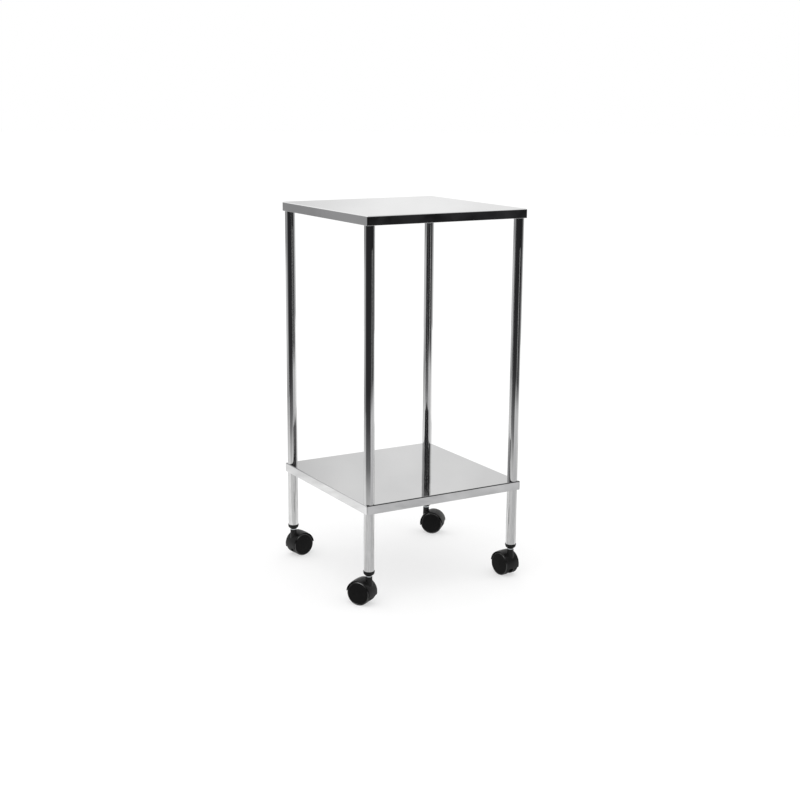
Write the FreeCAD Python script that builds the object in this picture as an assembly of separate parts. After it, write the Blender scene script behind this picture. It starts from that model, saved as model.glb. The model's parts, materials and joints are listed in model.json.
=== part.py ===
import FreeCAD, Part
import math
import os

# Two-shelf instrument table of polished stainless steel on four twin-wheel swivel casters.
# Millimetres. +Z is up, the floor is z = 0, and the origin lies under the middle of the shelves.
# Front is -Y, left is -X.

# Overall
table_height = 805.0
shelf_side = 380.0
shelf_spacing = 587.0  # from the lower shelf's surface up to the top one's

# Shelves, folded down from one sheet each
sheet = 1.0
flange_depth = 19.5
bend_radius = 2.0  # outside of the fold between deck and flange
corner_radius = 1.6  # outside of the welded upright corner
edge_rounding = 0.7  # outside of the fold between flange and lip
lip_width = 8.0
lip_relief = 28.0  # how far from a corner the lip is cut back for the leg
seam_width = 0.5
seam_from_corner = 2.2

# Stiffening channel under each deck, a hat section
hat_width = 46.0
hat_crown = 26.0
hat_depth = 11.0
hat_sheet = 1.0
hat_web_lean = 3.3  # how far each sloping side leans over its height
hat_end_gap = 0.4

# Legs, round tube
leg_diameter = 22.0
leg_wall = 1.2
leg_to_flange = 0.3
leg_top_gap = 0.5
leg_hole_clearance = 0.15
weld_leg = 2.2

# Plastic plugs that close the tubes and take the caster stems
plug_flange_diameter = 24.0
plug_flange_thickness = 2.6
plug_below_leg = 10.4
plug_mouth_diameter = 13.4
plug_insert_length = 27.0
plug_rib_count = 4
plug_rib_height = 1.6
plug_rib_depth = 0.9
plug_fit = 0.05
plug_knee = 1.5  # how far the cup under the flange stands out past a straight taper

# Caster stems, turned steel
stem_diameter = 11.0
stem_length = 22.0
stem_fit = 0.08
stem_collar_diameter = 12.6
stem_collar_thickness = 2.0
stem_chamfer = 1.0
grip_groove_depth = 1.2
grip_groove_height = 5.0
grip_ring_clearance = 0.25
grip_ring_split = 40.0  # degrees
journal_diameter = 7.0
journal_length = 25.0
journal_groove_depth = 0.6
journal_groove_height = 2.0
journal_groove_from_tip = 3.0
running_fit = 0.08
thrust_gap = 0.3

# Casters
wheel_diameter = 51.0
caster_trail = 17.0  # from the swivel axis back to the axle
caster_width = 36.0
wheel_gap = 12.0  # between the two wheels
axle_diameter = 6.0
axle_end_cover = 2.4  # wheel left outside the axle's end
axle_press_fit = 0.02
axle_groove_depth = 0.5
axle_groove_height = 1.2
axle_groove_from_tip = 2.4
axle_chamfer = 0.5
snap_ridge_clearance = 0.25
snap_ridge_bevel = 0.2
side_play = 0.3

# Wheel section
tread_thickness = 2.6
wheel_face_thickness = 1.9
wheel_face_rise = 0.9  # of the shallow cone from the face's edge to its middle
wheel_gate_flat = 1.5  # radius of the small flat in the middle of the face
wheel_rim_chamfer = 1.7
wheel_rim_flat = 0.9
wheel_rim_step = 0.45
wheel_shoulder_chamfer = 0.9  # at the tread's inner edge
wheel_hub_diameter = 12.0
wheel_rib_count = 6
wheel_rib_thickness = 1.6
wheel_rib_setback = 1.5
wheel_rib_root = 0.8  # how far a rib runs into hub, tread and face

# Hood over the wheels
hood_over_wheel = 1.2
hood_wall = 2.0
hood_crown = 0.9  # how much the hood swells towards its middle
hood_rim_chamfer = 0.5
hood_inside_face = 1.0  # from the wheel's outer face in to the hood's rim
hood_back_end = 3.0  # above the axle
hood_front_end = -7.0  # below the axle
web_side_gap = 0.5
web_below_axle = 9.5
boss_top_diameter = 14.0
boss_bottom_diameter = 15.6
boss_over_hood = 12.7  # the boss's top above the hood where the stem leaves it
boss_blend = 1.2

# Corners of the table, and the way each caster trails at rest in degrees from +X
corners = {
    "front_left": (-1, -1, 122.0),
    "front_right": (1, -1, 98.0),
    "back_right": (1, 1, 315.0),
    "back_left": (-1, 1, 8.0),
}

# Worked out from the sizes above
up = FreeCAD.Vector(0, 0, 1)
along_x = FreeCAD.Vector(1, 0, 0)
along_y = FreeCAD.Vector(0, 1, 0)
origin = FreeCAD.Vector(0, 0, 0)
past = 1.0  # how far a cutting shape runs past the material it cuts
hair = 1e-6  # places closer than this are the same

leg_radius = leg_diameter / 2
leg_bore_radius = leg_radius - leg_wall
leg_place = shelf_side / 2 - sheet - leg_to_flange - leg_radius
leg_top = table_height - sheet - leg_top_gap

wheel_radius = wheel_diameter / 2
stem_radius = stem_diameter / 2
journal_radius = journal_diameter / 2
axle_radius = axle_diameter / 2
axle_height = wheel_radius

hood_inner_radius = wheel_radius + hood_over_wheel
hood_outer_radius = hood_inner_radius + hood_wall
hood_half_width = caster_width / 2 - hood_inside_face
web_half = wheel_gap / 2 - web_side_gap
hood_back = math.degrees(math.asin(hood_back_end / hood_outer_radius))
hood_front = 180 - math.degrees(math.asin(hood_front_end / hood_outer_radius))

boss_top = axle_height + math.sqrt(hood_outer_radius**2 - caster_trail**2) + boss_over_hood
collar_bottom = boss_top + thrust_gap
collar_top = collar_bottom + stem_collar_thickness
leg_bottom = collar_top + plug_below_leg


def outline(points, place):
    """A closed wire: a point ends a straight edge, and a pair of points is an arc's middle and end."""
    edges = []
    first = place(*points[0])
    start = first
    for step in points[1:]:
        if isinstance(step[0], tuple):
            end = place(*step[1])
            edges.append(Part.Arc(start, place(*step[0]), end).toShape())
        else:
            end = place(*step)
            edges.append(Part.LineSegment(start, end).toShape())
        start = end
    if not start.isEqual(first, hair):
        edges.append(Part.LineSegment(start, first).toShape())
    return Part.Wire(edges)


def turned(points, angle=360.0):
    """A solid turned about Z from a section of (radius, height) points."""
    section = Part.Face(outline(points, lambda r, z: FreeCAD.Vector(r, 0, z)))
    return section.revolve(origin, up, angle)


def plate(points, half_thickness):
    """A solid of even thickness about the plane y = 0, from an outline of (x, z) points."""
    face = Part.Face(outline(points, lambda x, z: FreeCAD.Vector(x, -half_thickness, z)))
    return face.extrude(FreeCAD.Vector(0, 2 * half_thickness, 0))


def on_circle(radius, degrees, centre):
    angle = math.radians(degrees)
    return (centre[0] + radius * math.cos(angle), centre[1] + radius * math.sin(angle))


def box_between(low, high):
    size = [b - a for a, b in zip(low, high)]
    return Part.makeBox(size[0], size[1], size[2], FreeCAD.Vector(*low))


def edges_where(shape, wanted):
    return [edge for edge in shape.Edges if wanted(edge)]


def all_at_height(edge, z):
    return all(abs(v.Z - z) < hair for v in edge.Vertexes)


def upright(edge):
    ends = [v.Point for v in edge.Vertexes]
    return abs(ends[0].x - ends[-1].x) < hair and abs(ends[0].y - ends[-1].y) < hair


def rounded_block(side, low, high, upright_radius, top_radius, bottom_radius):
    """A square block about the Z axis with its edges rounded. A radius of 0 leaves an edge sharp."""
    half = side / 2
    block = box_between((-half, -half, low), (half, half, high))
    if upright_radius > 0:
        block = block.makeFillet(upright_radius, edges_where(block, upright))
    if top_radius > 0:
        block = block.makeFillet(top_radius, edges_where(block, lambda e: all_at_height(e, high)))
    if bottom_radius > 0:
        block = block.makeFillet(bottom_radius, edges_where(block, lambda e: all_at_height(e, low)))
    return block


def corner_places():
    for name, (x_side, y_side, trail) in corners.items():
        yield name, x_side * leg_place, y_side * leg_place, trail


def shelf_pan(surface, leg_holes):
    """A deck with folded flanges, inward lips along their lower edges and a seam at each corner."""
    low = surface - flange_depth
    outer = rounded_block(shelf_side, low, surface, corner_radius, bend_radius, edge_rounding)
    inner_side = shelf_side - 2 * sheet
    inner = rounded_block(
        inner_side, low + sheet, surface - sheet, corner_radius - sheet, bend_radius - sheet, 0
    )
    mouth = inner_side / 2 - lip_width
    cutters = [inner, box_between((-mouth, -mouth, low - past), (mouth, mouth, surface - 2 * sheet))]
    inside = inner_side / 2
    relief = inside - lip_relief
    for x_side in (-1, 1):
        for y_side in (-1, 1):
            near = (x_side * relief, y_side * relief)
            far = (x_side * inside, y_side * inside)
            x_low, x_high = sorted((near[0], far[0]))
            y_low, y_high = sorted((near[1], far[1]))
            cutters.append(box_between((x_low, y_low, low - past), (x_high, y_high, low + sheet + past)))
            seam_x = x_side * (shelf_side / 2 - seam_from_corner)
            seam_y = y_side * shelf_side / 2
            seam_low = (seam_x - seam_width / 2, seam_y - past - sheet, low - past)
            seam_high = (seam_x + seam_width / 2, seam_y + past + sheet, surface - bend_radius)
            cutters.append(box_between(seam_low, seam_high))
    if leg_holes:
        hole_radius = leg_radius + leg_hole_clearance
        for name, x, y, trail in corner_places():
            at = FreeCAD.Vector(x, y, surface - bend_radius - past)
            cutters.append(Part.makeCylinder(hole_radius, bend_radius + 2 * past, at))
    pan = outer
    for cutter in cutters:
        pan = pan.cut(cutter)
    return pan


def hat_channel(surface):
    """A hat-section stiffener against the underside of a deck, from flange to flange."""
    high = surface - sheet
    low = high - hat_depth
    foot = hat_width / 2
    crown = hat_crown / 2
    knee = crown + hat_web_lean
    section = [
        (-foot, high),
        (-foot, high - hat_sheet),
        (-knee - hat_sheet, high - hat_sheet),
        (-crown - hat_sheet, low),
        (crown + hat_sheet, low),
        (knee + hat_sheet, high - hat_sheet),
        (foot, high - hat_sheet),
        (foot, high),
        (knee, high),
        (crown, low + hat_sheet),
        (-crown, low + hat_sheet),
        (-knee, high),
    ]
    length = shelf_side - 2 * sheet - 2 * hat_end_gap
    face = Part.Face(outline(section, lambda y, z: FreeCAD.Vector(-length / 2, y, z)))
    return face.extrude(FreeCAD.Vector(length, 0, 0))


def leg_tube():
    """One leg, open at both ends, on the Z axis."""
    length = leg_top - leg_bottom
    at = FreeCAD.Vector(0, 0, leg_bottom)
    return Part.makeCylinder(leg_radius, length, at).cut(Part.makeCylinder(leg_bore_radius, length, at))


def weld_ring(deck_underside):
    """The weld bead in the corner between a leg and the underside of a deck, on the Z axis."""
    return turned(
        [
            (leg_radius, deck_underside),
            (leg_radius, deck_underside - weld_leg),
            (leg_radius + weld_leg, deck_underside),
        ]
    )


def fitted_bead(bead, pan):
    """What is left of a bead inside a pan: it stops where the leg lies against the flanges."""
    return max(bead.cut(pan).Solids, key=lambda solid: solid.Volume)


def leg_plug():
    """The plastic plug in a leg's lower end: ribbed insert, flange and a cup down to the stem's collar."""
    insert_radius = leg_bore_radius - plug_rib_depth
    rib_radius = leg_bore_radius - plug_fit
    flange_radius = plug_flange_diameter / 2
    mouth_radius = plug_mouth_diameter / 2
    flange_low = leg_bottom - plug_flange_thickness
    insert_top = leg_bottom + plug_insert_length
    pitch = plug_insert_length / plug_rib_count
    knee = ((flange_radius + mouth_radius) / 2 + plug_knee, (flange_low + collar_top) / 2)
    section = [
        (0, collar_top),
        (mouth_radius, collar_top),
        knee,
        (flange_radius, flange_low),
        (flange_radius, leg_bottom),
        (insert_radius, leg_bottom),
    ]
    for index in range(plug_rib_count):
        rib_low = leg_bottom + (index + 0.5) * pitch
        rib_high = rib_low + plug_rib_height
        section += [(insert_radius, rib_low), (rib_radius, rib_low), (insert_radius, rib_high)]
    section += [(insert_radius, insert_top), (0, insert_top)]
    socket_depth = stem_length + stem_chamfer
    socket = Part.makeCylinder(stem_radius + stem_fit, socket_depth, FreeCAD.Vector(0, 0, collar_top))
    return turned(section).cut(socket)


def stem_groove_low():
    return collar_top + (stem_length - grip_groove_height) / 2


def caster_stem():
    """A turned stem: grooved spigot above the collar, journal for the hood below it."""
    groove_low = stem_groove_low()
    groove_radius = stem_radius - grip_groove_depth
    tip = collar_top + stem_length
    journal_tip = collar_bottom - journal_length
    snap_low = journal_tip + journal_groove_from_tip
    snap_radius = journal_radius - journal_groove_depth
    return turned(
        [
            (0, journal_tip),
            (journal_radius - stem_chamfer, journal_tip),
            (journal_radius, journal_tip + stem_chamfer),
            (journal_radius, snap_low),
            (snap_radius, snap_low),
            (snap_radius, snap_low + journal_groove_height),
            (journal_radius, snap_low + journal_groove_height),
            (journal_radius, collar_bottom),
            (stem_collar_diameter / 2, collar_bottom),
            (stem_collar_diameter / 2, collar_top),
            (stem_radius, collar_top),
            (stem_radius, groove_low),
            (groove_radius, groove_low),
            (groove_radius, groove_low + grip_groove_height),
            (stem_radius, groove_low + grip_groove_height),
            (stem_radius, tip - stem_chamfer),
            (stem_radius - stem_chamfer, tip),
            (0, tip),
        ]
    )


def grip_ring():
    """The split spring ring in a stem's groove."""
    low = stem_groove_low() + grip_ring_clearance
    high = stem_groove_low() + grip_groove_height - grip_ring_clearance
    inner = stem_radius - grip_groove_depth
    section = [(inner, low), (stem_radius, low), (stem_radius, high), (inner, high)]
    return turned(section, 360 - grip_ring_split)


def hood_hollow():
    """The room for the wheels inside a hood, about the axle."""
    at = FreeCAD.Vector(caster_trail, -caster_width, axle_height)
    return Part.makeCylinder(hood_inner_radius, 2 * caster_width, at, along_y)


def hood_shell():
    """The crowned cover over both wheels, turned about the axle from its back end round to its front end."""
    half = hood_half_width
    rim = hood_outer_radius - hood_crown
    section = [
        (hood_inner_radius, -half),
        (rim - hood_rim_chamfer, -half),
        (rim, hood_rim_chamfer - half),
        ((hood_outer_radius, 0), (rim, half - hood_rim_chamfer)),
        (rim - hood_rim_chamfer, half),
        (hood_inner_radius, half),
    ]
    shell = turned(section, hood_front - hood_back)
    shell.rotate(origin, along_x, 90)
    shell.rotate(origin, along_y, -hood_back)
    shell.translate(FreeCAD.Vector(caster_trail, 0, axle_height))
    return shell


def hood_web():
    """The wall between the wheels that carries the axle and the swivel bearing."""
    centre = (caster_trail, axle_height)
    radius = hood_inner_radius + hood_wall / 2
    back_end = on_circle(radius, hood_back, centre)
    front_end = on_circle(radius, hood_front, centre)
    return plate(
        [
            back_end,
            (on_circle(radius, 90, centre), front_end),
            ((caster_trail, axle_height - web_below_axle), back_end),
        ],
        web_half,
    )


def swivel_boss():
    """The tapered boss round the stem, cut off where the wheels need room."""
    low = axle_height
    boss = turned(
        [(0, low), (boss_bottom_diameter / 2, low), (boss_top_diameter / 2, boss_top), (0, boss_top)]
    )
    return boss.cut(hood_hollow())


def stem_bore():
    """The hole for the stem's journal, with the ridge that snaps into its groove."""
    bore = journal_radius + running_fit
    tip = collar_bottom - journal_length
    ridge = journal_radius - journal_groove_depth + snap_ridge_clearance
    ridge_low = tip + journal_groove_from_tip + snap_ridge_clearance
    ridge_high = tip + journal_groove_from_tip + journal_groove_height - snap_ridge_clearance
    return turned(
        [
            (0, tip - thrust_gap),
            (bore, tip - thrust_gap),
            (bore, ridge_low),
            (ridge, ridge_low + snap_ridge_bevel),
            (ridge, ridge_high - snap_ridge_bevel),
            (bore, ridge_high),
            (bore, boss_top + past),
            (0, boss_top + past),
        ]
    )


def caster_hood():
    """The moulded housing of a caster: cover, web and boss in one piece, bored for the stem and the axle."""
    hood = hood_shell().fuse([hood_web(), swivel_boss()]).removeSplitter()
    hood = hood.makeFillet(boss_blend, edges_where(hood, is_boss_root))
    axle_hole = Part.makeCylinder(
        axle_radius + axle_press_fit,
        caster_width,
        FreeCAD.Vector(caster_trail, -caster_width / 2, axle_height),
        along_y,
    )
    return hood.cut(stem_bore()).cut(axle_hole)


def is_boss_root(edge):
    """Whether an edge is where the boss runs into the outside of the cover."""
    middle = edge.valueAt((edge.FirstParameter + edge.LastParameter) / 2)
    from_axle = math.hypot(middle.x - caster_trail, middle.z - axle_height)
    from_stem = math.hypot(middle.x, middle.y)
    outside = from_axle > hood_outer_radius - hood_crown
    return outside and from_stem < boss_bottom_diameter / 2 and middle.z < boss_top - past


def on_axle(shape, side):
    """Turns a shape made along Z, with its outer end up, to lie along one side of the axle."""
    shape.rotate(origin, along_x, -90 * side)
    shape.translate(FreeCAD.Vector(caster_trail, 0, axle_height))
    return shape


def axle_tip():
    return caster_width / 2 - axle_end_cover


def caster_axle():
    """The steel axle pin, with a chamfer and a snap groove at each end."""
    tip = axle_tip()
    groove_low = tip - axle_groove_from_tip
    groove_radius = axle_radius - axle_groove_depth
    half = [
        (axle_radius, groove_low),
        (groove_radius, groove_low),
        (groove_radius, groove_low + axle_groove_height),
        (axle_radius, groove_low + axle_groove_height),
        (axle_radius, tip - axle_chamfer),
        (axle_radius - axle_chamfer, tip),
    ]
    mirrored = [(r, -z) for r, z in reversed(half)]
    return on_axle(turned([(0, -tip)] + mirrored + half + [(0, tip)]), 1)


def wheel_section():
    """Half the section of a wheel: tread, closed outer face, hub and the hollow between them."""
    inner = wheel_gap / 2
    outer = caster_width / 2
    hub_radius = wheel_hub_diameter / 2
    hub_inner = web_half + side_play
    back = outer - wheel_face_rise - wheel_face_thickness
    rim_radius = wheel_radius - wheel_rim_chamfer
    face_edge = outer - wheel_face_rise
    rim = face_edge + wheel_rim_step
    disc_radius = rim_radius - wheel_rim_flat - wheel_rim_step
    tread_inside = wheel_radius - tread_thickness
    bore = axle_radius + running_fit
    bore_end = axle_tip() + side_play
    ridge = axle_radius - axle_groove_depth + snap_ridge_clearance
    ridge_low = axle_tip() - axle_groove_from_tip + snap_ridge_clearance
    ridge_high = ridge_low + axle_groove_height - 2 * snap_ridge_clearance
    return [
        (0, outer),
        (0, bore_end),
        (bore, bore_end),
        (bore, ridge_high),
        (ridge, ridge_high),
        (ridge, ridge_low),
        (bore, ridge_low),
        (bore, hub_inner),
        (hub_radius, hub_inner),
        (hub_radius, back),
        (tread_inside, back),
        (tread_inside, inner),
        (wheel_radius - wheel_shoulder_chamfer, inner),
        (wheel_radius, inner + wheel_shoulder_chamfer),
        (wheel_radius, rim - wheel_rim_chamfer),
        (rim_radius, rim),
        (disc_radius + wheel_rim_step, rim),
        (disc_radius, face_edge),
        (wheel_gate_flat, outer),
    ]


def caster_wheel(side):
    """A wheel on one end of the axle, stiffened by ribs between hub and tread."""
    wheel = turned(wheel_section())
    low = wheel_gap / 2 + wheel_rib_setback
    high = caster_width / 2 - wheel_face_rise - wheel_face_thickness + wheel_rib_root
    inside = wheel_hub_diameter / 2 - wheel_rib_root
    outside = wheel_radius - tread_thickness + wheel_rib_root
    half = wheel_rib_thickness / 2
    ribs = []
    for index in range(wheel_rib_count):
        rib = box_between((inside, -half, low), (outside, half, high))
        rib.rotate(origin, up, index * 360.0 / wheel_rib_count)
        ribs.append(rib)
    return on_axle(wheel.fuse(ribs).removeSplitter(), side)


def placed(shape, x, y, turn=0.0):
    """A copy of a shape made about the Z axis, turned and moved to a corner of the table."""
    copy = shape.copy()
    copy.rotate(origin, up, turn)
    copy.translate(FreeCAD.Vector(x, y, 0))
    return copy


def build():
    """Every sub-part by name, in place."""
    lower_surface = table_height - shelf_spacing
    top_shelf = shelf_pan(table_height, False)
    lower_shelf = shelf_pan(lower_surface, True)
    parts = {
        "top_shelf": top_shelf,
        "lower_shelf": lower_shelf,
        "top_shelf_stiffener": hat_channel(table_height),
        "lower_shelf_stiffener": hat_channel(lower_surface),
    }
    leg = leg_tube()
    plug = leg_plug()
    stem = caster_stem()
    ring = grip_ring()
    hood = caster_hood()
    axle = caster_axle()
    left_wheel = caster_wheel(1)
    right_wheel = caster_wheel(-1)
    top_bead = weld_ring(table_height - sheet)
    lower_bead = weld_ring(lower_surface - sheet)
    top_beads = []
    lower_beads = []
    rings = []
    for name, x, y, trail in corner_places():
        parts[name + "_leg"] = placed(leg, x, y)
        parts[name + "_leg_plug"] = placed(plug, x, y)
        parts[name + "_caster_stem"] = placed(stem, x, y)
        parts[name + "_caster_hood"] = placed(hood, x, y, trail)
        parts[name + "_caster_axle"] = placed(axle, x, y, trail)
        parts[name + "_left_wheel"] = placed(left_wheel, x, y, trail)
        parts[name + "_right_wheel"] = placed(right_wheel, x, y, trail)
        top_beads.append(fitted_bead(placed(top_bead, x, y), top_shelf))
        lower_beads.append(fitted_bead(placed(lower_bead, x, y), lower_shelf))
        rings.append(placed(ring, x, y, trail))
    parts["top_shelf_welds"] = Part.makeCompound(top_beads)
    parts["lower_shelf_welds"] = Part.makeCompound(lower_beads)
    parts["stem_grip_rings"] = Part.makeCompound(rings)
    return parts


os.makedirs("parts", exist_ok=True)
for node, shape in build().items():
    shape.exportStep("parts/" + node + ".step")
    print(node, len(shape.Solids), round(shape.Volume))
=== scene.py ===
import json
import math
import bpy
import bmesh
from mathutils import Matrix, Vector

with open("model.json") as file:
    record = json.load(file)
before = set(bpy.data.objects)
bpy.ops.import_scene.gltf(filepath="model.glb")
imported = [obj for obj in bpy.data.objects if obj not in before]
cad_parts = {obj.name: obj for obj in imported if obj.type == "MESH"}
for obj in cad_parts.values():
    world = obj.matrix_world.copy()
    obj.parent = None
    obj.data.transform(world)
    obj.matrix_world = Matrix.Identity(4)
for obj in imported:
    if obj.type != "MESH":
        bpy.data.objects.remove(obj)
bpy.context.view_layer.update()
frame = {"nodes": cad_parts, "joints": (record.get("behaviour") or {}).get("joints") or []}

corners = ["front_left", "front_right", "back_right", "back_left"]


def linear(hexColour):  # sRGB hex to the linear colour that a shader takes
    parts = [int(hexColour[i:i + 2], 16) / 255 for i in (1, 3, 5)]
    return [p / 12.92 if p <= 0.04045 else ((p + 0.055) / 1.055) ** 2.4 for p in parts] + [1.0]


def perMetre(millimetres):  # scale of a pattern whose features are that far apart
    return 1000.0 / millimetres


def addNode(tree, kind, settings=None, sockets=None):
    node = tree.nodes.new(kind)
    for name, value in (settings or {}).items():
        setattr(node, name, value)
    for name, value in (sockets or {}).items():
        if isinstance(value, bpy.types.NodeSocket):
            tree.links.new(value, node.inputs[name])
        else:
            node.inputs[name].default_value = value
    return node


def noise(tree, place, scale, detail, swirl=0.0):
    sockets = {"Vector": place, "Scale": scale, "Detail": detail, "Distortion": swirl}
    return addNode(tree, "ShaderNodeTexNoise", None, sockets).outputs["Fac"]


def stretched(tree, place, spacings):  # for a pattern with its own spacing in mm along X, Y and Z
    scale = [perMetre(spacing) for spacing in spacings]
    return addNode(tree, "ShaderNodeMapping", None, {"Vector": place, "Scale": scale}).outputs["Vector"]


def remap(tree, value, source=(0.0, 1.0), target=(0.0, 1.0)):
    ends = {"From Min": source[0], "From Max": source[1], "To Min": target[0], "To Max": target[1]}
    return addNode(tree, "ShaderNodeMapRange", None, {"Value": value, **ends}).outputs["Result"]


def combine(tree, operation, first, second, clamp=False):
    settings = {"operation": operation, "use_clamp": clamp}
    return addNode(tree, "ShaderNodeMath", settings, {0: first, 1: second}).outputs[0]


def mixColours(tree, share, first, second):
    return addNode(tree, "ShaderNodeMix", {"data_type": "RGBA"}, {0: share, 6: first, 7: second}).outputs[2]


def relief(tree, pattern, strength, height, below=None):  # height in m
    sockets = {"Height": pattern, "Strength": strength, "Distance": height}
    node = addNode(tree, "ShaderNodeBump", None, sockets)
    if below is not None:
        tree.links.new(below, node.inputs["Normal"])
    return node.outputs["Normal"]


def emptyTree(owner):
    owner.use_nodes = True
    owner.node_tree.nodes.clear()
    return owner.node_tree


def newMaterial(name, settings):  # one shader, with its plain values on its own sockets
    material = bpy.data.materials.new(name)
    tree = emptyTree(material)
    shader = addNode(tree, "ShaderNodeBsdfPrincipled", None, settings)
    addNode(tree, "ShaderNodeOutputMaterial", None, {"Surface": shader.outputs["BSDF"]})
    place = addNode(tree, "ShaderNodeTexCoord").outputs["Object"]
    return material, tree, shader, place


def connect(tree, shader, outputs):
    for socket, output in outputs.items():
        tree.links.new(output, shader.inputs[socket])


# In every look below, widths and spacings are in mm and heights of reliefs in m. A range holds
# the values of a pattern between which the surface goes from its first state to its second.

# Shelves: 304 stainless sheet, folded and then buffed to a mirror. The eye gets sharp
# reflections that sway a little where the sheet isn't quite flat, and faint wiping marks.
# The lower shelf has a painted dark reflection along its front fold, a dark hairline in its colour.
sheetLook = {
    "steel": "#F0F0EF",
    "steelShade": "#E8E8E9",
    "toneWidth": 180,
    "roughnessClean": 0.03,
    "roughnessWiped": 0.07,
    "wipeWidth": 60,
    "wipeRange": (0.45, 0.75),
    "wipeSwirl": 1.2,
    "swayWidth": 110,  # from one shallow swell of the sheet to the next
    "swayHeight": 0.0005,
    "foldRippleWidth": 22,  # ripples that folding leaves beside the edges
    "foldRippleHeight": 0.00005,
    # painted reflection: the dark colour of what the front fold would mirror, put into the sheet's colour
    "foldPaintedReflection": "#5A5A5B",
    "paintedReflectionFromFlange": (0.02, 0.1),  # how far the fold faces up where the painted dark reflection starts
    "paintedReflectionFromDeck": (-0.1, -0.3),  # how far it faces the front where the painted dark reflection ends
}


# Mask of the painted dark reflection along the lower shelf's front fold.
def alongFrontFold(tree):  # 1 where the sheet turns from its front flange to its deck
    facing = addNode(tree, "ShaderNodeTexCoord").outputs["Normal"]
    slant = addNode(tree, "ShaderNodeSeparateXYZ", None, {"Vector": facing})
    offFlange = remap(tree, slant.outputs["Z"], sheetLook["paintedReflectionFromFlange"])
    offDeck = remap(tree, slant.outputs["Y"], sheetLook["paintedReflectionFromDeck"])
    return combine(tree, "MULTIPLY", offFlange, offDeck)


def polishedSheet(name, paintsFoldReflection):
    look = sheetLook
    material, tree, shader, place = newMaterial(name, {"Metallic": 1.0})
    tone = noise(tree, place, perMetre(look["toneWidth"]), 2.0)
    colour = mixColours(tree, tone, linear(look["steelShade"]), linear(look["steel"]))
    if paintsFoldReflection:
        # painted reflection: a dark hairline mixed into the colour where the front fold turns
        colour = mixColours(tree, alongFrontFold(tree), colour, linear(look["foldPaintedReflection"]))
    wiped = noise(tree, place, perMetre(look["wipeWidth"]), 5.0, look["wipeSwirl"])
    gloss = remap(tree, wiped, look["wipeRange"], (look["roughnessClean"], look["roughnessWiped"]))
    sway = noise(tree, place, perMetre(look["swayWidth"]), 0.0)
    swell = relief(tree, sway, 1.0, look["swayHeight"])
    ripple = noise(tree, place, perMetre(look["foldRippleWidth"]), 1.0)
    fine = relief(tree, ripple, 1.0, look["foldRippleHeight"], swell)
    connect(tree, shader, {"Base Color": colour, "Roughness": gloss, "Normal": fine})
    return material


# Legs: welded 304 tube, drawn and buffed lengthwise. The eye gets long straight streaks.
tubeLook = {
    "steel": "#EDEDEC",
    "steelShade": "#DCDCDD",
    "roughnessClean": 0.045,
    "roughnessBuffed": 0.055,
    "buffLineWidth": 2.4,  # real buffing lines are finer, drawn coarse enough to show
    "buffLineLength": 400,
    "buffRange": (0.3, 0.7),
    "swayWidth": 130,
    "swayHeight": 0.0001,
}


def polishedTube():
    look = tubeLook
    material, tree, shader, place = newMaterial("stainless_304_buffed_tube", {"Metallic": 1.0})
    along = stretched(tree, place, [look["buffLineWidth"], look["buffLineWidth"], look["buffLineLength"]])
    lines = noise(tree, along, 1.0, 0.0)
    colour = mixColours(tree, lines, linear(look["steelShade"]), linear(look["steel"]))
    gloss = remap(tree, lines, look["buffRange"], (look["roughnessClean"], look["roughnessBuffed"]))
    sway = noise(tree, place, perMetre(look["swayWidth"]), 0.0)
    swell = relief(tree, sway, 1.0, look["swayHeight"])
    connect(tree, shader, {"Base Color": colour, "Roughness": gloss, "Normal": swell})
    return material


# Stiffeners: the same steel in its cold-rolled 2B mill finish. The eye gets a soft grey sheen.
stiffenerLook = {
    "steel": "#B9BABB",
    "steelShade": "#A6A8AA",
    "roughness": 0.34,
    "grainWidth": 2.0,
    "grainLength": 90,
    "grainStrength": 0.3,
    "grainHeight": 0.0001,
}


def millSheet():
    look = stiffenerLook
    settings = {"Metallic": 1.0, "Roughness": look["roughness"]}
    material, tree, shader, place = newMaterial("stainless_304_mill_finish", settings)
    along = stretched(tree, place, [look["grainLength"], look["grainWidth"], look["grainWidth"]])
    grain = noise(tree, along, 1.0, 3.0)
    colour = mixColours(tree, grain, linear(look["steelShade"]), linear(look["steel"]))
    rolled = relief(tree, grain, look["grainStrength"], look["grainHeight"])
    connect(tree, shader, {"Base Color": colour, "Normal": rolled})
    return material


# Welds: TIG beads left as welded. The eye gets fine scales and a straw and blue heat tint.
weldLook = {
    "steel": "#B7B2A8",
    "heatTint": "#6E6C7C",
    "tintWidth": 5,
    "roughness": 0.3,
    "scaleSpacing": 1.4,
    "scaleStrength": 0.6,
    "scaleHeight": 0.0004,
}


def weldBead():
    look = weldLook
    settings = {"Metallic": 1.0, "Roughness": look["roughness"]}
    material, tree, shader, place = newMaterial("stainless_tig_weld", settings)
    tint = noise(tree, place, perMetre(look["tintWidth"]), 2.0)
    colour = mixColours(tree, tint, linear(look["heatTint"]), linear(look["steel"]))
    cells = {"Vector": place, "Scale": perMetre(look["scaleSpacing"])}
    scales = addNode(tree, "ShaderNodeTexVoronoi", None, cells).outputs["Distance"]
    beads = relief(tree, scales, look["scaleStrength"], look["scaleHeight"])
    connect(tree, shader, {"Base Color": colour, "Normal": beads})
    return material


# Stems and axles: turned steel, bright zinc plated. The eye gets a cool satin white metal.
zincLook = {
    "zinc": "#D3D6D8",
    "zincDull": "#BCC1C4",
    "roughnessBright": 0.16,
    "roughnessDull": 0.3,
    "cloudWidth": 4,
    "turnSpacing": 3.1416,  # real turning marks are finer, drawn coarse enough to show
    "turnUnevenness": 0.2,
    "turnStrength": 0.15,
    "turnHeight": 0.00005,
}
waveBand = 2 * math.pi / 20  # spacing of a wave texture's bands at a scale of 1


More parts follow.
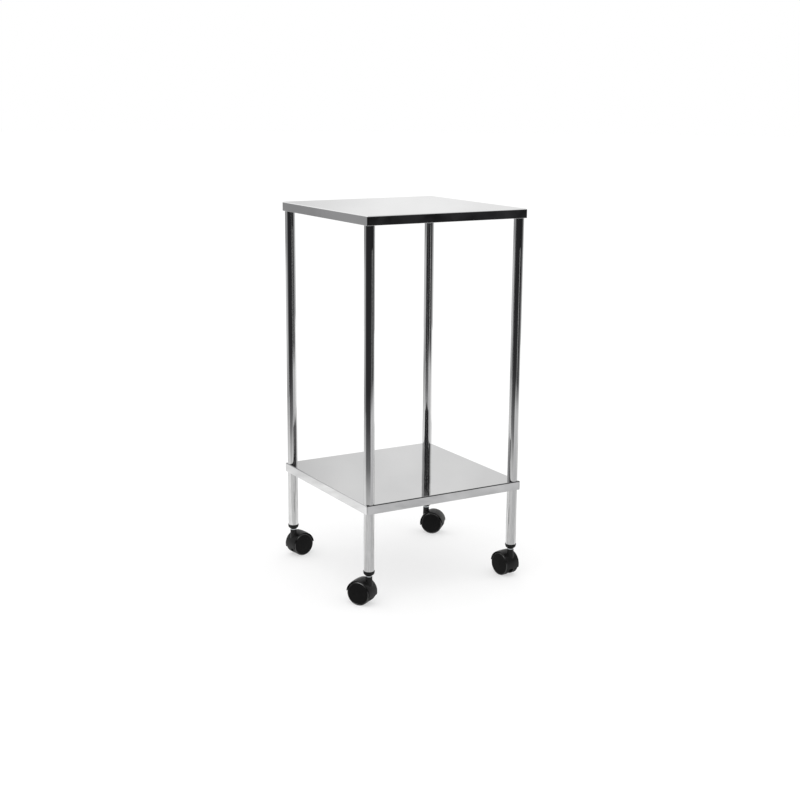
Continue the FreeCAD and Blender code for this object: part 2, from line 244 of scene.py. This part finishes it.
def zincPlated(name):
    look = zincLook
    material, tree, shader, place = newMaterial(name, {"Metallic": 1.0})
    cloud = noise(tree, place, perMetre(look["cloudWidth"]), 3.0)
    colour = mixColours(tree, cloud, linear(look["zincDull"]), linear(look["zinc"]))
    gloss = remap(tree, cloud, target=(look["roughnessDull"], look["roughnessBright"]))
    scale = perMetre(look["turnSpacing"]) * waveBand
    rings = {"Vector": place, "Scale": scale, "Distortion": look["turnUnevenness"]}
    turning = addNode(tree, "ShaderNodeTexWave", {"bands_direction": "Z"}, rings).outputs["Fac"]
    cut = relief(tree, turning, look["turnStrength"], look["turnHeight"])
    connect(tree, shader, {"Base Color": colour, "Roughness": gloss, "Normal": cut})
    return material


# Grip rings: hardened spring steel, oiled black. The eye gets a dark blue-grey metal.
springLook = {"steel": "#4A4C50", "oiled": "#2E3034", "filmWidth": 2.5, "roughness": 0.38}


def oiledSpring():
    look = springLook
    settings = {"Metallic": 1.0, "Roughness": look["roughness"]}
    material, tree, shader, place = newMaterial("spring_steel_oiled", settings)
    film = noise(tree, place, perMetre(look["filmWidth"]), 2.0)
    colour = mixColours(tree, film, linear(look["oiled"]), linear(look["steel"]))
    connect(tree, shader, {"Base Color": colour})
    return material


# Moulded plastics, all black. Low-density polyethylene for the plugs: waxy and smooth.
# Nylon for the hoods: a fine spark-eroded grain that breaks up the sheen. Nylon for the
# wheels: smoother faces with a dry scuffed film, and edges that the floor has rubbed shiny.
plasticLooks = {
    "polyethylene_plug_black": {
        "colour": "#050505",
        "dust": "#0A0A0A",
        "ior": 1.51,
        "sheen": 0.25,
        "roughness": (0.3, 0.42),
        "grainWidth": 1.2,
        "grainHeight": 0.00002,
        "patchWidth": 6,
    },
    "nylon_hood_black": {
        "colour": "#0A0A0A",
        "dust": "#121212",
        "ior": 1.53,
        "sheen": 0.3,
        "roughness": (0.36, 0.5),
        "grainWidth": 0.9,  # real grain is 0.1 mm, drawn coarser
        "grainHeight": 0.00004,
        "patchWidth": 12,
    },
    "nylon_wheel_black": {
        "colour": "#0C0C0C",
        "dust": "#111111",
        "ior": 1.53,
        "sheen": 0.1,
        "roughness": (0.38, 0.52),
        "grainWidth": 0.8,
        "grainHeight": 0.00002,
        "patchWidth": 9,
        "edgeSheen": 1.0,
        "edgeRoughness": 0.22,
        "edgeFromTread": (0.3, 0.5),  # how far the surface faces along the axle
        "edgeFromFace": (0.97, 0.85),
    },
}
plasticPattern = {"dustRange": (0.45, 0.8), "glossRange": (0.3, 0.7)}


def rubEdges(tree, shader, look, gloss, axle):  # where a wheel's surface slants between face and tread
    facing = addNode(tree, "ShaderNodeTexCoord").outputs["Normal"]
    along = addNode(tree, "ShaderNodeVectorMath", {"operation": "DOT_PRODUCT"}, {0: facing, 1: axle})
    slant = addNode(tree, "ShaderNodeMath", {"operation": "ABSOLUTE"}, {0: along.outputs["Value"]}).outputs[0]
    offTread = remap(tree, slant, look["edgeFromTread"])
    offFace = remap(tree, slant, look["edgeFromFace"])
    edge = combine(tree, "MULTIPLY", offTread, offFace)
    sheen = remap(tree, edge, target=(look["sheen"], look["edgeSheen"]))
    values = {0: edge, 2: gloss, 3: look["edgeRoughness"]}
    rubbed = addNode(tree, "ShaderNodeMix", {"data_type": "FLOAT"}, values).outputs[0]
    connect(tree, shader, {"Specular IOR Level": sheen, "Roughness": rubbed})


def mouldedPlastic(name, axle=None):
    look = plasticLooks[name]
    settings = {"IOR": look["ior"], "Specular IOR Level": look["sheen"]}
    material, tree, shader, place = newMaterial(name, settings)
    patch = noise(tree, place, perMetre(look["patchWidth"]), 4.0)
    film = remap(tree, patch, plasticPattern["dustRange"])
    colour = mixColours(tree, film, linear(look["colour"]), linear(look["dust"]))
    gloss = remap(tree, patch, plasticPattern["glossRange"], look["roughness"])
    grain = noise(tree, place, perMetre(look["grainWidth"]), 2.0)
    eroded = relief(tree, grain, 1.0, look["grainHeight"])
    connect(tree, shader, {"Base Color": colour, "Roughness": gloss, "Normal": eroded})
    if axle:
        rubEdges(tree, shader, look, gloss, axle)
    return material


def finish(node, material):
    for slot in frame["nodes"][node].material_slots:
        slot.material = material


sheets = {
    "top_shelf": polishedSheet("stainless_304_mirror_sheet", False),
    # The lower shelf's sheet has a painted dark reflection along its front fold.
    "lower_shelf": polishedSheet("stainless_304_mirror_sheet_painted_fold_reflection", True),
}
tube = polishedTube()
mill = millSheet()
weld = weldBead()
stemZinc = zincPlated("zinc_plated_stem")
axleZinc = zincPlated("zinc_plated_axle")
hoodNylon = mouldedPlastic("nylon_hood_black")
plugPlastic = mouldedPlastic("polyethylene_plug_black")
for shelf, sheet in sheets.items():
    finish(shelf, sheet)
    finish(shelf + "_stiffener", mill)
    finish(shelf + "_welds", weld)
finish("stem_grip_rings", oiledSpring())
axles = {joint["child"]: joint["axis"] for joint in frame["joints"]}
for corner in corners:
    wheelNylon = mouldedPlastic("nylon_wheel_black", axles[corner + "_left_wheel"])
    finish(corner + "_leg", tube)
    finish(corner + "_leg_plug", plugPlastic)
    finish(corner + "_caster_stem", stemZinc)
    finish(corner + "_caster_axle", axleZinc)
    finish(corner + "_caster_hood", hoodNylon)
    finish(corner + "_left_wheel", wheelNylon)
    finish(corner + "_right_wheel", wheelNylon)
print("finishes assigned")


# Studio: a white floor and white surroundings, a soft lamp overhead, and cards round the
# table that only glossy surfaces mirror. Directions are in degrees from +X.
studio = {
    "floorRadius": 30.0,
    "floorSegments": 96,
    "floorColour": "#FFFFFF",
    "floorGlow": 0.5,  # share of the floor that the eye sees as plain white paper, over its own shading
    "surroundColour": "#FFFFFF",
    "surroundStrength": 1.0,  # what the eye and the metal see
    "fillStrength": 1.12,  # what lights matt surfaces
    "lampPower": 4.0,
    "lampSize": 1.2,
    "lampPlace": (-0.5, -0.6, 2.3),
    "lampTarget": (0, 0, 0.5),
    "cardStep": 3,  # degrees from one column of a card to the next
    "cardMottle": 0.3,  # how much the cards vary from place to place
    "mottleWidth": 160,
    "mottleRange": (0.3, 0.7),
}
# Each card runs through rings of (radius in m, height in m, grey), from the floor outwards and up.
# Its tones, where it has them, are (direction, factor) and change it from side to side.
paleFloor = (0.03, 0.001, "#EAEAEA")
greyFloor = (0.03, 0.001, "#CACACA")
cards = [
    {"name": "card_front_left", "from": 178, "to": 262, "mottleWidth": 70, "rings": [
        greyFloor, (0.85, 0.001, "#CFCFCF"), (1.03, 0.07, "#747475"), (1.2, 0.14, "#484849"),
        (1.35, 0.2, "#303031"), (1.35, 0.8, "#262627")]},
    {"name": "card_front_right_floor", "from": 262, "to": 322, "mottleWidth": 60, "rings": [
        greyFloor, (0.85, 0.001, "#C0C0C1"), (1.2, 0.14, "#CACACB"), (1.35, 0.2, "#444445")]},
    {"name": "card_front_right", "from": 262, "to": 322, "mottle": 1.1, "mottleWidth": 50,
     "tones": [(262, 1.0), (300, 1.0), (322, 1.6)], "rings": [
        (1.35, 0.2, "#444445"), (1.35, 0.6, "#262627"), (1.35, 0.8, "#262627")]},
    {"name": "card_front_upper", "from": 178, "to": 322, "mottle": 0.1, "rings": [
        (1.35, 0.8, "#262627"), (1.35, 0.95, "#8E8E8F"), (1.35, 1.4, "#BEBEBF"), (1.35, 1.7, "#CACACB")]},
    {"name": "card_right", "from": 322, "to": 346, "rings": [
        greyFloor, (1.2, 0.14, "#D0D0D0"), (1.35, 0.2, "#7C7C7D"), (1.35, 0.93, "#5C5C5D")]},
    {"name": "card_left_light", "from": 150, "to": 178,
     "tones": [(150, 1.0), (166, 0.45), (178, 0.12)], "rings": [
        (1.35, 0.12, "#B8B8B9"), (1.35, 0.93, "#B8B8B9")]},
    {"name": "card_left", "from": 92, "to": 150, "rings": [
        (1.35, 0.12, "#9C9C9D"), (1.35, 0.3, "#D0D0D1"), (1.35, 0.5, "#D0D0D1"), (1.35, 0.6, "#949495"),
        (1.35, 0.93, "#949495")]},
    {"name": "card_left_floor", "from": 92, "to": 178, "mottleWidth": 60, "rings": [
        paleFloor, (0.85, 0.001, "#EEEEEE"), (1.35, 0.12, "#A4A4A5")]},
    {"name": "card_back_floor", "from": 346, "to": 452, "rings": [paleFloor, (1.35, 0.001, "#DEDEDE")]},
    {"name": "card_back", "from": 346, "to": 452, "mottle": 0.08,
     "tones": [(346, 0.85), (400, 0.88), (412, 1.0), (422, 1.0), (436, 0.8), (452, 0.75)], "rings": [
        (1.35, 0.3, "#E0E0E0"), (1.35, 0.82, "#E0E0E0"), (1.35, 0.9, "#F0F0F0"), (1.35, 1.3, "#F8F8F8")]},
    {"name": "card_strip", "from": 284.4, "to": 288.4, "rings": [
        (1.3, 0.15, "#D0D0D0"), (1.3, 0.6, "#F0F0F0")]},
    {"name": "card_overhead", "from": 0, "to": 360, "mottle": 0.05, "rings": [
        (0.05, 2.2, "#D2D2D3"), (0.8, 2.2, "#DCDCDC"), (1.1, 2.2, "#F0F0F0"), (1.5, 2.2, "#F8F8F8")]},
    {"name": "card_overhead_left", "from": 100, "to": 250, "boost": 2.8,
     "tones": [(100, 0.36), (130, 1.0), (220, 1.0), (250, 0.36)], "rings": [
        (1.05, 2.19, "#A0A0A0"), (1.3, 2.19, "#FFFFFF"), (1.7, 2.19, "#FFFFFF"), (1.9, 2.19, "#A0A0A0")]},
]


def toneAt(card, direction):
    tones = card.get("tones", [(card["from"], 1.0), (card["to"], 1.0)])
    for (start, first), (end, second) in zip(tones, tones[1:]):
        if direction <= end:
            return first + (second - first) * (direction - start) / (end - start)
    return tones[-1][1]


def cardGlow(card):  # light of its own, by the shade at each vertex and a cloudy pattern over it
    mottle = card.get("mottle", studio["cardMottle"])
    width = card.get("mottleWidth", studio["mottleWidth"])
    material = bpy.data.materials.new(card["name"] + "_glow")
    tree = emptyTree(material)
    place = addNode(tree, "ShaderNodeTexCoord").outputs["Object"]
    shade = addNode(tree, "ShaderNodeAttribute", {"attribute_name": "shade"}).outputs["Color"]
    cloud = noise(tree, place, perMetre(width), 2.0)
    level = remap(tree, cloud, studio["mottleRange"], (1 - mottle / 2, 1 + mottle / 2))
    glow = addNode(tree, "ShaderNodeEmission", None, {"Color": shade, "Strength": level})
    addNode(tree, "ShaderNodeOutputMaterial", None, {"Surface": glow.outputs["Emission"]})
    return material


def buildCard(card):
    mesh = bpy.data.meshes.new(card["name"])
    shape = bmesh.new()
    shade = shape.verts.layers.float_color.new("shade")
    steps = max(2, round((card["to"] - card["from"]) / studio["cardStep"]))
    last = None
    for i in range(steps + 1):
        direction = card["from"] + (card["to"] - card["from"]) * i / steps
        angle = math.radians(direction)
        factor = card.get("boost", 1.0) * toneAt(card, direction)
        column = []
        for radius, height, grey in card["rings"]:
            vertex = shape.verts.new((radius * math.cos(angle), radius * math.sin(angle), height))
            vertex[shade] = [c * factor for c in linear(grey)]
            column.append(vertex)
        if last:
            for low in range(len(column) - 1):
                shape.faces.new((last[low], column[low], column[low + 1], last[low + 1]))
        last = column
    shape.to_mesh(mesh)
    shape.free()
    mesh.materials.append(cardGlow(card))
    wall = bpy.data.objects.new(card["name"], mesh)
    wall.visible_camera = False
    wall.visible_diffuse = False
    wall.visible_shadow = False
    wall.visible_transmission = False
    bpy.context.scene.collection.objects.link(wall)


def seenByEyeOrMirror(tree):  # 1 for what the camera, metal and glass show, 0 for what lights the part
    path = addNode(tree, "ShaderNodeLightPath").outputs
    seen = combine(tree, "ADD", path["Is Camera Ray"], path["Is Glossy Ray"], True)
    return combine(tree, "ADD", seen, path["Is Transmission Ray"], True)


def buildFloor():
    mesh = bpy.data.meshes.new("floor")
    shape = bmesh.new()
    radius, segments = studio["floorRadius"], studio["floorSegments"]
    bmesh.ops.create_circle(shape, cap_ends=True, radius=radius, segments=segments)
    shape.to_mesh(mesh)
    shape.free()
    floor = bpy.data.objects.new("floor", mesh)
    bpy.context.scene.collection.objects.link(floor)
    material = bpy.data.materials.new("matt_white_paper")
    tree = emptyTree(material)
    colour = linear(studio["floorColour"])
    paper = addNode(tree, "ShaderNodeBsdfDiffuse", None, {"Color": colour}).outputs["BSDF"]
    white = addNode(tree, "ShaderNodeEmission", None, {"Color": colour, "Strength": 1.0}).outputs["Emission"]
    share = combine(tree, "MULTIPLY", seenByEyeOrMirror(tree), studio["floorGlow"])
    ground = addNode(tree, "ShaderNodeMixShader", None, {0: share, 1: paper, 2: white})
    addNode(tree, "ShaderNodeOutputMaterial", None, {"Surface": ground.outputs["Shader"]})
    mesh.materials.append(material)


def buildWorld():
    world = bpy.data.worlds.new("white_studio")
    bpy.context.scene.world = world
    tree = emptyTree(world)
    strengths = (studio["fillStrength"], studio["surroundStrength"])
    level = remap(tree, seenByEyeOrMirror(tree), target=strengths)
    sockets = {"Color": linear(studio["surroundColour"]), "Strength": level}
    glow = addNode(tree, "ShaderNodeBackground", None, sockets)
    addNode(tree, "ShaderNodeOutputWorld", None, {"Surface": glow.outputs["Background"]})


def buildLamp():
    lamp = bpy.data.lights.new("overhead_softbox", "AREA")
    lamp.shape = "SQUARE"
    lamp.size = studio["lampSize"]
    lamp.energy = studio["lampPower"]
    holder = bpy.data.objects.new("overhead_softbox", lamp)
    holder.location = studio["lampPlace"]
    aim = Vector(studio["lampTarget"]) - holder.location
    holder.rotation_euler = aim.to_track_quat("-Z", "Y").to_euler()
    holder.visible_camera = False
    bpy.context.scene.collection.objects.link(holder)


# Camera: solved from the photograph's shelf corners, flange edges and leg lines.
cameraSetup = {
    "place": (-1.4772, -2.5133, 1.0475),
    "yaw": -30.413,  # degrees, left of +Y is positive
    "pitch": 12.884,  # looking down
    "roll": 0.398,
    "lens": 61.43,
    "sensor": 36.0,
}


def buildCamera():
    setup = cameraSetup
    yaw, pitch, roll = (math.radians(setup[k]) for k in ("yaw", "pitch", "roll"))
    ahead = Vector((-math.sin(yaw) * math.cos(pitch), math.cos(yaw) * math.cos(pitch), -math.sin(pitch)))
    level = Vector((math.cos(yaw), math.sin(yaw), 0))
    over = level.cross(ahead)
    right = level * math.cos(roll) + over * math.sin(roll)
    upward = over * math.cos(roll) - level * math.sin(roll)
    data = bpy.data.cameras.new("camera")
    data.sensor_width = setup["sensor"]
    data.lens = setup["lens"]
    camera = bpy.data.objects.new("camera", data)
    turn = Matrix((right, upward, -ahead)).transposed().to_4x4()
    camera.matrix_world = Matrix.Translation(setup["place"]) @ turn
    bpy.context.scene.collection.objects.link(camera)
    bpy.context.scene.camera = camera


buildFloor()
buildWorld()
for card in cards:
    buildCard(card)
buildLamp()
buildCamera()
bpy.context.scene.view_settings.view_transform = "Standard"
print("studio and camera ready")
